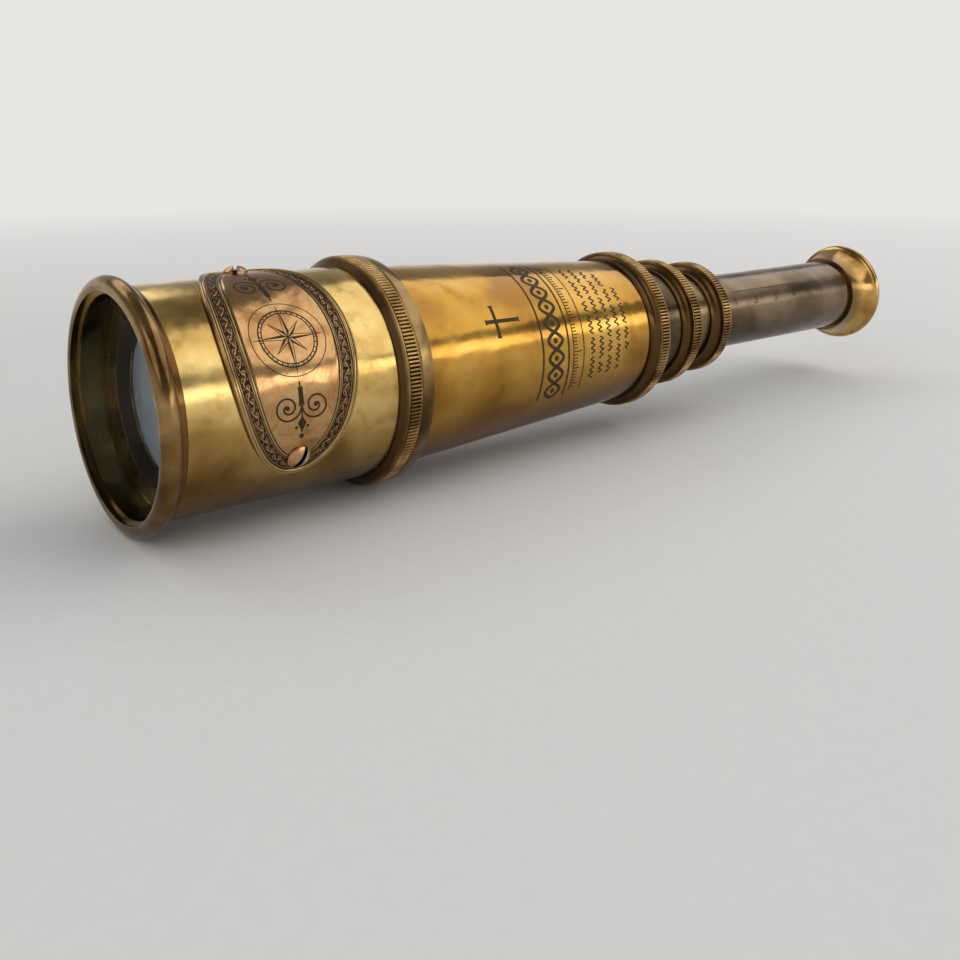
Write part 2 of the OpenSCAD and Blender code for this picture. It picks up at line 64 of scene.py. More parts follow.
def set_camera():
    data = bpy.data.cameras.new("camera")
    cam = bpy.data.objects.new("camera", data)
    scene.collection.objects.link(cam)
    forward = Vector(CAMERA_FORWARD).normalized()
    up = Vector(CAMERA_RIGHT).normalized().cross(forward).normalized()
    right = forward.cross(up)
    turn = Matrix((right, up, -forward)).transposed().to_4x4()
    cam.matrix_world = Matrix.Translation(CAMERA_PLACE) @ turn
    data.lens = 39.67
    data.sensor_width = 36
    data.shift_x = 0.0124
    data.shift_y = -0.115
    data.clip_start = 0.005
    data.clip_end = 20
    scene.camera = cam


set_camera()


# Node helpers

class Tree:
    """Adds nodes to one node tree with short calls. A value is a number, a colour or a socket."""

    def __init__(self, node_tree):
        self.nodes = node_tree.nodes
        self.links = node_tree.links
        self.nodes.clear()

    def add(self, kind, **settings):
        n = self.nodes.new("ShaderNode" + kind)
        for key, value in settings.items():
            setattr(n, key, value)
        return n

    def put(self, value, socket):
        if isinstance(value, bpy.types.NodeSocket):
            self.links.new(value, socket)
        else:
            socket.default_value = value

    def math(self, op, a, b=0.0):
        n = self.add("Math", operation=op)
        self.put(a, n.inputs[0])
        self.put(b, n.inputs[1])
        return n.outputs[0]

    def times(self, a, b):
        return self.math("MULTIPLY", a, b)

    def plus(self, a, b):
        return self.math("ADD", a, b)

    def hypotenuse(self, a, b):
        return self.math("SQRT", self.plus(self.times(a, a), self.times(b, b)))

    def step(self, value, low, high):
        """0 below low, 1 above high, straight between."""
        n = self.add("MapRange")
        self.put(value, n.inputs["Value"])
        n.inputs["From Min"].default_value = low
        n.inputs["From Max"].default_value = high
        return n.outputs[0]

    def ramp(self, value, stops):
        n = self.add("ValToRGB")
        self.put(value, n.inputs[0])
        elements = n.color_ramp.elements
        while len(elements) < len(stops):
            elements.new(0.5)
        for e, (position, color) in zip(elements, stops):
            e.position = position
            e.color = (*color, 1)
        return n.outputs[0]

    def mix(self, fac, a, b, kind="MIX"):
        n = self.add("Mix", data_type="RGBA", blend_type=kind)
        self.put(fac, n.inputs["Factor"])
        for value, socket in ((a, n.inputs[6]), (b, n.inputs[7])):
            self.put((*value, 1) if isinstance(value, tuple) else value, socket)
        return n.outputs[2]

    def mix_shader(self, fac, a, b):
        n = self.add("MixShader")
        for value, socket in zip((fac, a, b), n.inputs):
            self.put(value, socket)
        return n.outputs[0]

    def showing_rays(self):
        """1 for the rays that show the background: camera, glossy and transmission ones."""
        path = self.add("LightPath").outputs
        seen = self.math("MAXIMUM", path["Is Camera Ray"], path["Is Glossy Ray"])
        return self.math("MAXIMUM", seen, path["Is Transmission Ray"])


class Surface(Tree):
    """A new material round one Principled shader. Textures are scaled in mm."""

    def __init__(self, name):
        self.mat = bpy.data.materials.new(name)
        self.mat.use_nodes = True
        super().__init__(self.mat.node_tree)
        self.out = self.add("OutputMaterial")
        self.bsdf = self.add("BsdfPrincipled")
        self.links.new(self.bsdf.outputs[0], self.out.inputs[0])
        self.coord = self.add("TexCoord").outputs["Object"]

    def scaled(self, scale=(1, 1, 1), offset=(0, 0, 0)):
        n = self.add("Mapping")
        self.put(self.coord, n.inputs["Vector"])
        n.inputs["Scale"].default_value = [s / MM for s in scale]
        n.inputs["Location"].default_value = offset
        return n.outputs[0]

    def noise(self, vector, scale, detail, rough, distortion=0.0):
        n = self.add("TexNoise")
        self.put(vector, n.inputs["Vector"])
        n.inputs["Scale"].default_value = scale
        n.inputs["Detail"].default_value = detail
        n.inputs["Roughness"].default_value = rough
        n.inputs["Distortion"].default_value = distortion
        return n.outputs["Fac"]

    def axes(self):
        """X, Y and Z in mm."""
        n = self.add("SeparateXYZ")
        self.put(self.coord, n.inputs[0])
        return [self.times(o, 1 / MM) for o in n.outputs]

    def attribute(self, name):
        return self.add("Attribute", attribute_name=name).outputs["Fac"]

    def bump(self, height, strength, distance_mm, below=None):
        """A bump of that height, over the bump below it."""
        n = self.add("Bump")
        n.inputs["Strength"].default_value = strength
        n.inputs["Distance"].default_value = distance_mm * MM
        self.put(height, n.inputs["Height"])
        if below is not None:
            self.put(below, n.inputs["Normal"])
        return n.outputs[0]

    def finish(self, color, rough, normal=None, metallic=1.0):
        self.put(color, self.bsdf.inputs["Base Color"])
        self.put(rough, self.bsdf.inputs["Roughness"])
        self.bsdf.inputs["Metallic"].default_value = metallic
        if normal is not None:
            self.put(normal, self.bsdf.inputs["Normal"])
        return self.mat


def metal(name, dark, base, light, rough, blotch, seed, turned=0.3, drawn=0.0, shaded=(),
          under=0.0, dents=0.3, extra=None):
    """Worn brass: clouds of tarnish, a few specks, shallow dents, and turned or drawn lines.

    dark, base and light are the metal's colours, and rough its least and most roughness.
    blotch sets how small the clouds are, and seed which part of the noise is used.
    turned and drawn are how plain the lines round and along the piece are.
    Each of shaded is a zone between x1 and x2 that goes to its color as the radius falls, or
    rises, from bright_r to dark_r; most zones are painted shade in bores and hollows.
    under darkens the lower side as painted shade.
    dents is the depth of the dents in mm, and extra may change the colour last.
    """
    t = Surface(name)
    wide = t.noise(t.scaled(offset=(seed, seed * 0.7, 3)), blotch, 3, 0.45, 0.2)
    cloud = t.noise(t.scaled(offset=(seed + 9, 2, seed)), blotch * 2.7, 4, 0.55, 0.15)
    fine = t.noise(t.scaled(offset=(seed, 0, 0)), 1.1, 5, 0.65, 0.3)
    rings = t.noise(t.scaled((1, 0.04, 0.04)), 4.0, 3, 0.6)
    along = t.noise(t.scaled((0.02, 1, 1)), 1.6, 4, 0.55)
    hollows = t.noise(t.scaled(offset=(2, seed, 7)), 0.11, 2, 0.4)
    x, y, z = t.axes()
    r = t.hypotenuse(y, z)

    color = t.ramp(wide, [(0.32, dark), (0.46, base), (0.60, light), (0.74, base)])
    stain = t.times(t.step(cloud, 0.57, 0.70), 0.38)
    color = t.mix(stain, color, (0.5, 0.36, 0.2), "MULTIPLY")
    specks = t.times(t.step(fine, 0.66, 0.74), 0.55)
    color = t.mix(specks, color, tuple(c * 0.3 for c in base))
    if drawn:
        streak = t.ramp(along, [(0.30, tuple(c * 0.75 for c in base)), (0.62, (1, 1, 1))])
        color = t.mix(drawn, color, streak, "MULTIPLY")
    # Painted shade: darker towards the lower side.
    if under:
        edge = t.times(t.math("SUBTRACT", wide, 0.5), 0.6)
        low = t.step(t.plus(t.math("DIVIDE", z, r), edge), 0.10, -0.55)
        color = t.mix(t.times(low, under), color, (0.30, 0.235, 0.16), "MULTIPLY")
    # Zones that darken as the radius falls, most of them painted shade.
    for zone in shaded:
        inside = t.times(t.math("GREATER_THAN", x, zone["x1"]), t.math("LESS_THAN", x, zone["x2"]))
        deep = t.step(r, zone["bright_r"], zone["dark_r"])
        color = t.mix(t.times(deep, inside), color, zone["color"])
    if extra:
        color = extra(t, color, x, y, z)

    level = t.plus(t.times(wide, 0.5), t.times(cloud, 0.5))
    least, most = rough
    rough_out = t.plus(least, t.times(t.step(level, 0.40, 0.62), most - least))
    normal = t.bump(hollows, 1.0, dents)
    normal = t.bump(rings, 0.2 * turned, 0.02, normal)
    normal = t.bump(fine, 0.12, 0.02, normal)
    if drawn:
        normal = t.bump(along, 0.25 * drawn, 0.02, normal)
    return t.finish(color, rough_out, normal)


def knurled(name, r, x1, seed):
    """A bronze ring of radius r, bright on its knurl's lands and dark in its grooves from x1 on,
    with painted shade on its front face, darker towards the bore.
    """
    grooves = dict(dark_r=r - 0.40, bright_r=r - 0.14, color=(0.035, 0.020, 0.008),
                   x1=x1, x2=x1 + KNURL_LEN)
    # Painted shade on the front face, darker towards the bore.
    front = dict(dark_r=r - 0.9, bright_r=r - 0.2, color=(0.105, 0.058, 0.021),
                 x1=-9, x2=x1 - 0.4)
    return metal(name, (0.14, 0.078, 0.030), (0.30, 0.182, 0.068), (0.45, 0.295, 0.118),
                 rough=(0.20, 0.36), blotch=0.12, seed=seed, turned=0.5,
                 shaded=[grooves, front], under=0.4, dents=0.0)


def screw_shade(t, color, x, y, z):
    """Paints shade into the slots of both plate screws and onto one half of each head."""
    for turn in SCREW_TURNS:
        over = t.plus(t.times(y, math.cos(turn)), t.times(z, math.sin(turn)))
        out = t.plus(t.times(y, -math.sin(turn)), t.times(z, math.cos(turn)))
        here = t.times(t.math("GREATER_THAN", out, 20.0),
                       t.math("LESS_THAN", t.math("ABSOLUTE", over), 4.0))
        across = t.plus(t.times(t.math("SUBTRACT", x, PLATE["x"]), -math.sin(SLOT_TURN)),
                        t.times(over, math.cos(SLOT_TURN)))
        # Painted shade on one half of each head.
        shaded_half = t.times(here, t.step(across, -0.2, 0.3))
        # Painted shade in the slot.
        slot = t.times(here, t.math("LESS_THAN", t.math("ABSOLUTE", across), SLOT_HALF))
        color = t.mix(t.times(shaded_half, 0.7), color, (0.52, 0.24, 0.11))
        color = t.mix(slot, color, (0.03, 0.016, 0.008))
    return color


def glass(name, tint):
    t = Surface(name)
    haze = t.noise(t.scaled(), 0.5, 4, 0.6)
    t.bsdf.inputs["Transmission Weight"].default_value = 0.82
    t.bsdf.inputs["IOR"].default_value = 1.52
    return t.finish(tint, t.times(t.step(haze, 0.45, 0.75), 0.06), metallic=0.0)


# Materials of the CAD pieces

# Painted shade inside the hood and inside the rim's mouth.
INSIDE_SHADE = (0.20, 0.155, 0.070)
hood_mat = metal("hood_brass", (0.40, 0.245, 0.075), (0.60, 0.39, 0.12), (0.76, 0.54, 0.205),
                 rough=(0.12, 0.26), blotch=0.075, seed=4.0, under=0.85, dents=0.22,
                 shaded=[dict(dark_r=24.3, bright_r=24.9, color=INSIDE_SHADE, x1=0.3, x2=60)])
# Partly the rim's own dark tone, partly painted shade: its colours are darkened further.
rim_mat = metal("rim_brass", (0.11, 0.060, 0.021), (0.225, 0.128, 0.044), (0.345, 0.216, 0.084),
                rough=(0.15, 0.30), blotch=0.10, seed=9.0, turned=0.12, under=0.5, dents=0.1,
                # Painted shade behind the bead and inside the mouth.
                shaded=[dict(dark_r=25.9, bright_r=26.8, color=(0.13, 0.062, 0.022), x1=2.2, x2=5),
                        dict(dark_r=24.6, bright_r=25.3, color=INSIDE_SHADE, x1=-1.2, x2=5)])
# Partly the collar's own dark tone, partly painted shade: its colours are darkened further.
collar_mat = metal("collar_bronze",
                   (0.115, 0.064, 0.024), (0.220, 0.127, 0.045), (0.335, 0.212, 0.086),
                   rough=(0.16, 0.30), blotch=0.1, seed=2.0, turned=0.5, under=0.6, dents=0.15)
barrel_mat = metal("barrel_brass", (0.33, 0.160, 0.034), (0.51, 0.270, 0.046), (0.62, 0.36, 0.085),
                   rough=(0.11, 0.24), blotch=0.050, seed=11.0, under=0.85, dents=0.2)
draw_one_mat = metal("draw_bronze",
                     (0.070, 0.046, 0.025), (0.100, 0.066, 0.036), (0.140, 0.096, 0.055),
                     rough=(0.16, 0.30), blotch=0.10, seed=5.0, turned=0.4, drawn=0.25,
                     under=0.4, dents=0.15)
draw_two_mat = metal("draw_two_bronze",
                     (0.10, 0.064, 0.031), (0.160, 0.106, 0.052), (0.235, 0.162, 0.084),
                     rough=(0.15, 0.28), blotch=0.10, seed=12.0, turned=0.4, drawn=0.2,
                     under=0.5, dents=0.15)
# Partly the last draw's own dark tone, partly painted shade: its colours are darkened further.
draw_three_mat = metal("eye_draw_bronze",
                       (0.115, 0.076, 0.042), (0.165, 0.113, 0.065), (0.24, 0.174, 0.110),
                       rough=(0.16, 0.28), blotch=0.06, seed=7.0, turned=0.15, drawn=0.1,
                       under=0.7, dents=0.15)
cup_mat = metal("cup_brass", (0.30, 0.165, 0.050), (0.58, 0.33, 0.105), (0.74, 0.48, 0.19),
                rough=(0.14, 0.28), blotch=0.09, seed=13.0, turned=0.4, under=0.5, dents=0.1,
                # Painted shadow at the neck, where the cup meets the tube.
                shaded=[dict(dark_r=12.7, bright_r=13.6, color=(0.20, 0.115, 0.042),
                             x1=-9, x2=259)])
black_mat = metal("black_brass",
                  (0.010, 0.009, 0.008), (0.024, 0.020, 0.016), (0.045, 0.036, 0.026),
                  rough=(0.35, 0.55), blotch=0.2, seed=3.0, turned=1.0, dents=0.0)
lens_ring_mat = metal("retaining_ring_brass",
                      (0.07, 0.055, 0.028), (0.14, 0.112, 0.058), (0.22, 0.175, 0.095),
                      rough=(0.25, 0.42), blotch=0.2, seed=6.0, turned=0.8, dents=0.0,
                      shaded=[dict(dark_r=19.4, bright_r=19.8, color=(0.030, 0.025, 0.018),
                                   x1=-9, x2=9)])
guide_mat = metal("guide_brass", (0.16, 0.11, 0.045), (0.34, 0.25, 0.11), (0.46, 0.35, 0.17),
                  rough=(0.3, 0.5), blotch=0.15, seed=8.0, turned=0.8)
screw_mat = metal("screw_brass", (0.26, 0.145, 0.065), (0.56, 0.38, 0.19), (0.74, 0.58, 0.34),
                  rough=(0.20, 0.34), blotch=0.35, seed=1.0, turned=0.0, dents=0.0,
                  extra=screw_shade)
lens_mat = glass("optical_glass", (0.80, 0.88, 0.96, 1))

FINISH = {
    "rim_ring": rim_mat,
    "hood_tube": hood_mat,
    "plate_screws": screw_mat,
    "objective_retaining_ring": lens_ring_mat,
    "coupling_ring": knurled("coupling_bronze", r=27.95, x1=55.5, seed=1.0),
    "barrel_collar": collar_mat,
    "barrel_tube": barrel_mat,
    "barrel_end_ring": knurled("barrel_ring_bronze", r=22.5, x1=144.9, seed=2.5),
    "draw_one_tube": draw_one_mat,
    "draw_one_end_ring": knurled("draw_one_ring_bronze", r=18.85, x1=162.9, seed=4.5),
    "draw_two_tube": draw_two_mat,
    "draw_two_end_ring": knurled("draw_two_ring_bronze", r=17.0, x1=178.8, seed=6.5),
    "draw_three_tube": draw_three_mat,
    "eye_cup": cup_mat,
}
for name in ("objective_crown_lens", "objective_flint_lens", "eye_lens", "field_lens",
             "erector_front_lens", "erector_rear_lens"):
    FINISH[name] = lens_mat
for name in ("barrel_guide", "draw_one_stop", "draw_one_guide", "draw_two_stop", "draw_two_guide",
             "draw_three_stop", "erector_tube"):
    FINISH[name] = guide_mat

# Every other node is blackened, and the engraved plate stands for name_plate.
for name, piece in nodes.items():
    if name == "name_plate":
        continue
    mat = FINISH.get(name, black_mat)
    if not piece.material_slots:
        piece.data.materials.append(mat)
    for slot in piece.material_slots:
        slot.material = mat


# Mesh helpers

def new_object(name, bm, mat):
    me = bpy.data.meshes.new(name)
    bm.to_mesh(me)
    bm.free()
    me.materials.append(mat)
    o = bpy.data.objects.new(name, me)
    scene.collection.objects.link(o)
    return o


def add_piece(name, bm, body, mat):
    o = new_object(name, bm, mat)
    for p in o.data.polygons:
        p.use_smooth = True
    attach(o, body)
    return o


def round_point(x, turn, r):
    """The point at X, turned round the axis, at radius r: mm in, metres out."""
    return Vector((x, -math.sin(turn) * r, math.cos(turn) * r)) * MM


def circle(r, n, start=0.0):
    """The n points of a circle as pairs, from start steps on."""
    turns = [2 * math.pi * (i + start) / n for i in range(n)]
    return [(r * math.cos(q), r * math.sin(q)) for q in turns]


# The engraved plate: rings of points from its edge in, with a running scroll in the border

AROUND = 1440
BORDER_ROWS = 22
FIELD_ROWS = 26
SCROLL_PITCH = 3.1
FIELD_INSET = PLATE["edge"] + PLATE["border"] + 0.70
# How much a point stands out, for the colour: 0 in a groove, 1 on a ridge, 2 on the field.
GROOVE, RIDGE, FIELD = 0, 1, 2


def plate_point(u, q, inset, r):
    """The point at share u of the inset oval's radius, at angle q, on the cylinder of radius r."""
    x = (PLATE["a"] - inset) * u * math.cos(q)
    arc = (PLATE["b"] - inset) * u * math.sin(q)
    return round_point(PLATE["x"] + x, PLATE["turn"] + arc / PLATE["top"], r)


def border_relief(length, across):
    """The scroll's height from 0 to 1. length runs along the border and across over it, in mm."""
    stem = 0.42 * math.sin(2 * math.pi * length / SCROLL_PITCH)
    line = 1 - abs(across - stem) / 0.20
    k = round(length / (SCROLL_PITCH / 2))
    side = 1 if k % 2 else -1
    from_curl = length - k * SCROLL_PITCH / 2
    from_eye = math.hypot(from_curl, across - side * 0.30)
    ring = 1 - abs(from_eye - 0.42) / 0.15
    dot = 1 - from_eye / 0.17
    leaf = 1 - math.hypot(from_curl * 0.8, across + side * 0.78) / 0.26
    return min(1.0, max(0.0, line, ring, dot, leaf))


def scroll_lengths():
    """The length round the border's middle at each step, stretched to whole scrolls."""
    middle = PLATE["edge"] + PLATE["border"] / 2
    points = [plate_point(1, 2 * math.pi * k / AROUND, middle, PLATE["top"])
              for k in range(AROUND + 1)]
    lengths = [0.0]
    for p, q in zip(points, points[1:]):
        lengths.append(lengths[-1] + (q - p).length / MM)
    whole = round(lengths[-1] / SCROLL_PITCH) * SCROLL_PITCH
    return [length * whole / lengths[-1] for length in lengths]


def plate_rings():
    """Yields each ring as (u, inset, [(radius, relief) round it])."""
    top, edge, wide = PLATE["top"], PLATE["edge"], PLATE["border"]
    inside = edge + wide
    # (inset, radius, relief) over the raised edge, with its thin groove
    outer = [(0.0, PLATE["base"] + 0.03, GROOVE), (0.0, top + 0.20, RIDGE),
             (0.10, top + 0.39, RIDGE), (0.26, top + 0.485, RIDGE), (0.44, top + 0.485, RIDGE),
             (0.54, top + 0.37, 0.35), (0.62, top + 0.37, 0.35), (0.72, top + 0.475, RIDGE),
             (0.98, top + 0.485, RIDGE), (1.16, top + 0.39, RIDGE), (1.27, top + 0.20, 0.5),
             (1.33, top + 0.01, GROOVE)]
    # the same for the step between the border and the field
    inner = [(inside - 0.05, top + 0.03, GROOVE), (inside + 0.06, top + 0.24, RIDGE),
             (inside + 0.28, top + 0.25, RIDGE), (inside + 0.40, top + 0.15, 0.1),
             (inside + 0.58, top + 0.15, 0.1), (FIELD_INSET, FIELD_R, RIDGE)]
    lengths = scroll_lengths()
    for inset, r, level in outer:
        yield 1, inset, [(r, level)] * AROUND
    for i in range(1, BORDER_ROWS):
        inset = edge + wide * i / BORDER_ROWS
        across = inset - edge - wide / 2
        fence = 1 - abs(abs(across) - 1.24) / 0.13
        levels = []
        for k in range(AROUND):
            scroll = border_relief(lengths[k], across) if abs(across) < 1.1 else 0.0
            levels.append(max(scroll, fence))
        yield 1, inset, [(top + 0.01 + 0.19 * level, level) for level in levels]
    for inset, r, level in inner:
        yield 1, inset, [(r, level)] * AROUND
    for i in range(1, FIELD_ROWS):
        yield 1 - i / FIELD_ROWS, FIELD_INSET, [(FIELD_R, FIELD)] * AROUND


def plate_material():
    t = Surface("plate_brass")
    relief = t.attribute("relief")
    wide = t.noise(t.scaled(offset=(2, 5, 0)), 0.085, 5, 0.6, 1.4)
    fine = t.noise(t.scaled(), 0.9, 6, 0.7)
    hollows = t.noise(t.scaled(offset=(2, 4, 7)), 0.11, 2, 0.4)
    # Partly the plate's own tone, partly painted shade: these colours are darkened further.
    field = t.ramp(wide, [(0.30, (0.24, 0.118, 0.048)), (0.44, (0.42, 0.222, 0.088)),
                          (0.58, (0.56, 0.330, 0.142)), (0.74, (0.33, 0.168, 0.070))])
    ridge = t.ramp(wide, [(0.3, (0.27, 0.162, 0.057)), (0.55, (0.50, 0.330, 0.130)),
                          (0.7, (0.39, 0.245, 0.092))])
    groove = t.mix(t.step(fine, 0.42, 0.62), (0.035, 0.018, 0.014), (0.14, 0.075, 0.05))
    color = t.mix(t.step(relief, 0.30, 0.80), groove, ridge)
    color = t.mix(t.step(relief, 1.4, 1.6), color, field)
    color = t.mix(t.times(t.step(fine, 0.62, 0.72), 0.6), color, (0.14, 0.075, 0.035))
    rough = t.plus(0.13, t.times(t.step(relief, 0.9, 0.1), 0.35))
    rough = t.plus(rough, t.times(t.step(wide, 0.6, 0.3), 0.12))
    return t.finish(color, rough, t.bump(fine, 0.12, 0.02, t.bump(hollows, 1.0, 0.25)))


def build_plate():
    bm = bmesh.new()
    relief = bm.verts.layers.float.new("relief")

    def point(u, q, inset, r, level):
        v = bm.verts.new(plate_point(u, q, inset, r))
        v[relief] = level
        return v

    rows = [[point(u, 2 * math.pi * k / AROUND, inset, r, level)
             for k, (r, level) in enumerate(ring)] for u, inset, ring in plate_rings()]
    middle = point(0, 0, FIELD_INSET, FIELD_R, FIELD)
    for a, b in zip(rows, rows[1:]):
        for k in range(AROUND):
            after = (k + 1) % AROUND
            bm.faces.new((a[k], a[after], b[after], b[k]))
    for k in range(AROUND):
        bm.faces.new((rows[-1][k], rows[-1][(k + 1) % AROUND], middle))
    bmesh.ops.recalc_face_normals(bm, faces=bm.faces)
    plate = add_piece("engraved_plate", bm, "barrel", plate_material())
    plate.data.validate()
    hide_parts("name_plate")


build_plate()


# Engraved lines: flat shapes in (x, arc) in mm, laid on a round surface just clear of it

ENGRAVING_LIFT = 0.02
DRAW_MARKS_LIFT = 0.015
BARREL_SLOPE = (BARREL_R2 - BARREL_R1) / (BARREL_X2 - BARREL_X1)
BARREL_ARC_R = 22.5


def on_barrel(x, arc):
    r = BARREL_R1 + BARREL_SLOPE * (x - BARREL_X1)
    return round_point(x, math.radians(60) + arc / BARREL_ARC_R, r + ENGRAVING_LIFT)


def on_plate(x, arc):
    return round_point(PLATE["x"] + x, PLATE["turn"] + arc / FIELD_R, FIELD_R + ENGRAVING_LIFT)


def on_draw(x, arc):
    return round_point(x, math.radians(62) + arc / DRAW_THREE_R, DRAW_THREE_R + DRAW_MARKS_LIFT)


def engraving(name, tint, rough=0.55):
    t = Surface(name)
    n = t.noise(t.scaled(), 1.6, 5, 0.7)
    color = t.mix(t.step(n, 0.35, 0.65), tuple(c * 0.5 for c in tint), tint)
    return t.finish(color, rough, t.bump(n, 0.4, 0.03), 0.7)


def polyline(points, width):
    """Quads along a line of points, with mitred corners and flat ends."""
    pts = [Vector(p) for p in points]
    closed = (pts[0] - pts[-1]).length < 1e-6
    if closed:
        pts = pts[:-1]
    n = len(pts)
    left, right = [], []
    for i, p in enumerate(pts):
        into = (p - pts[i - 1]).normalized() if i or closed else None
        onward = (pts[(i + 1) % n] - p).normalized() if i < n - 1 or closed else None
        grow = 1.0
        if into is None:
            along = onward
        elif onward is None:
            along = into
        else:
            along = (into + onward).normalized()
            grow = 1 / max(0.5, math.sqrt(max(0.0, (1 + into.dot(onward)) / 2)))
        side = Vector((-along.y, along.x)) * width / 2 * grow
        left.append(p + side)
        right.append(p - side)
    quads = [(left[i], left[i + 1], right[i + 1], right[i]) for i in range(n - 1)]
    if closed:
        quads.append((left[-1], left[0], right[0], right[-1]))
    return quads


def ruled(a, b, width):
    """A straight line, cut fine enough to bend round the surface."""
    a, b = Vector(a), Vector(b)
    k = max(1, math.ceil((b - a).length / 0.8))
    return polyline([tuple(a.lerp(b, i / k)) for i in range(k + 1)], width)


def wave(x, a1, a2, height, pitch, width, phase=0.0):
    """A wave about X, from arc a1 to a2."""
    n = max(8, int(abs(a2 - a1) / 0.28))
    arcs = [a1 + (a2 - a1) * i / n for i in range(n + 1)]
    return polyline([(x + height * math.sin(2 * math.pi * a / pitch + phase), a) for a in arcs],
                    width)


def disc(x, arc, r):
    return [[(x + a, arc + b) for a, b in circle(r, 14)]]


def cross(x1, x2, bar_x, half, width):
    """A plain cross with flared ends, its long arm along X."""
    w, f = width / 2, width * 0.85
    near, far = x1 + 0.5, x2 - 0.5
    out = [[(x1, -f), (near, -w), (near, w), (x1, f)],
           [(x2, f), (far, w), (far, -w), (x2, -f)],
           [(near, -w), (far, -w), (far, w), (near, w)]]
    for s in (-1, 1):
        end = s * (half - 0.5)
        out.append([(bar_x - w, s * w), (bar_x + w, s * w), (bar_x + w, end), (bar_x - w, end)])
        out.append([(bar_x - w, end), (bar_x + w, end),
                    (bar_x + f, s * half), (bar_x - f, s * half)])
    return out


def tick(k, short, middle, tall):
    """The length of a scale's mark k: every tenth is tall and every fifth middling."""
    return tall if k % 10 == 0 else (middle if k % 5 == 0 else short)


def lay(name, faces, place, body, mat):
    """Lays flat faces on a round surface, cut fine enough to follow it."""
    bm = bmesh.new()
    for f in faces:
        bm.faces.new([bm.verts.new((p[0], p[1], 0)) for p in f])
    bmesh.ops.remove_doubles(bm, verts=bm.verts, dist=1e-4)
    for _ in range(6):
        long = [e for e in bm.edges if e.calc_length() > 1.1]
        if not long:
            break
        bmesh.ops.subdivide_edges(bm, edges=long, cuts=1, use_grid_fill=True)
        bmesh.ops.triangulate(bm, faces=[f for f in bm.faces if len(f.verts) > 4])
    for v in bm.verts:
        v.co = place(v.co.x, v.co.y)
    bmesh.ops.recalc_face_normals(bm, faces=bm.faces)
    for f in bm.faces:
        c = f.calc_center_median()
        if f.normal.dot(Vector((0, c.y, c.z))) < 0:
            f.normal_flip()
    add_piece(name, bm, body, mat)


def barrel_ornament():
    low, high = -17.5, 21.5
    rope_x, rope_pitch = 104.6, 9.0
    bead_pitch = rope_pitch / 2
    faces = cross(82.6, 93.7, bar_x=86.0, half=4.1, width=0.95)
    # two ruled lines with a scale between them
    for x in (111.0, 114.9):
        faces += ruled((x, low), (x, high), 0.34)
    k = 0
    a = low + 1.0
    while a < high - 0.5:
        faces += polyline([(111.3, a), (111.3 + tick(k, 1.2, 1.9, 2.6), a)], 0.32)
        k += 1
        a += 0.9
    # a broad rope of two crossing waves between two lines, with a bead in each opening
    for phase in (0.0, math.pi):
        faces += wave(rope_x, low - 1, high + 1, 2.5, rope_pitch, 0.95, phase)
    k = math.ceil((low - 1) / bead_pitch)
    while k * bead_pitch < high + 1:
        faces += disc(rope_x, (k + 0.5) * bead_pitch, 0.72)
        k += 1
    for x in (99.9, 109.2):
        faces += ruled((x, low - 1), (x, high + 1), 0.6)
    # shorter rows of small waves behind the scale, in runs of uneven length
    rows = [(118.4, -15.5, 19.5), (121.8, -15.5, 19.0), (125.2, -14.0, 19.5),
            (128.6, -12.5, 18.0), (132.0, -6.5, 12.5)]
    for i, (x, start, stop) in enumerate(rows):
        a = start
        k = i
        while a < stop:
            end = min(a + (4.4, 6.2, 3.2, 5.3)[k % 4], stop)
            faces += wave(x, a, end, 0.68, 1.55, 0.44)
            a = end + 1.0
            k += 1
    cut = engraving("barrel_engraving", (0.075, 0.048, 0.018))
    lay("barrel_engraving", faces, on_barrel, "barrel", cut)


def star():
    """A compass star: eight long points, each half filled, over circles and small marks."""
    faces = []
    for i in range(8):
        q = i * math.pi / 4
        length, waist = (7.9, 1.55) if i % 2 == 0 else (5.0, 1.4)
        tip = (length * math.cos(q), length * math.sin(q))
        sides = (q - math.pi / 8, q + math.pi / 8)
        left, right = [(waist * math.cos(s), waist * math.sin(s)) for s in sides]
        faces += polyline([(0, 0), left, tip], 0.16)
        faces.append([(0, 0), tip, right])
    for r, width in ((5.9, 0.25), (6.6, 0.34), (8.6, 0.2)):
        ring = circle(r, 96)
        faces += polyline(ring + ring[:1], width)
    for a, b in zip(circle(6.0, 32, 0.5), circle(6.5, 32, 0.5)):
        faces += polyline([a, b], 0.22)
    return faces


def spray(s):
    """Two curls with a stem and a leaf between them, above the star or, with s = -1, below it."""
    faces = []
    curl_x, curl_arc = 3.3, s * 14.9
    for side in (-1, 1):
        curl = []
        for i in range(60):
            u = i / 59
            turn = u * 3.4 * math.pi
            r = 2.9 * (1 - u) ** 0.8 + 0.3
            curl.append((side * (curl_x - r * math.cos(turn)),
                         s * (14.9 + r * math.sin(turn) * 0.95)))
        faces += polyline(curl, 0.42)
        faces += disc(side * curl_x, curl_arc, 0.5)
        faces += polyline([(side * 0.35, s * 10.8), (side * 0.35, s * 13.4),
                           (side * 0.5, s * 14.8)], 0.42)
        faces += disc(side * 1.35, s * 19.3, 0.36)
    faces += polyline([(0, s * 9.6), (0, s * 20.6)], 0.36)
    faces += disc(0, s * 21.4, 0.55)
    faces.append([(0, s * 16.9), (1.05, s * 18.5), (0, s * 20.4), (-1.05, s * 18.5)])
    return faces


def plate_ornament():
    cut = engraving("plate_engraving", (0.060, 0.040, 0.018))
    lay("plate_engraving", star() + spray(-1) + spray(1), on_plate, "barrel", cut)


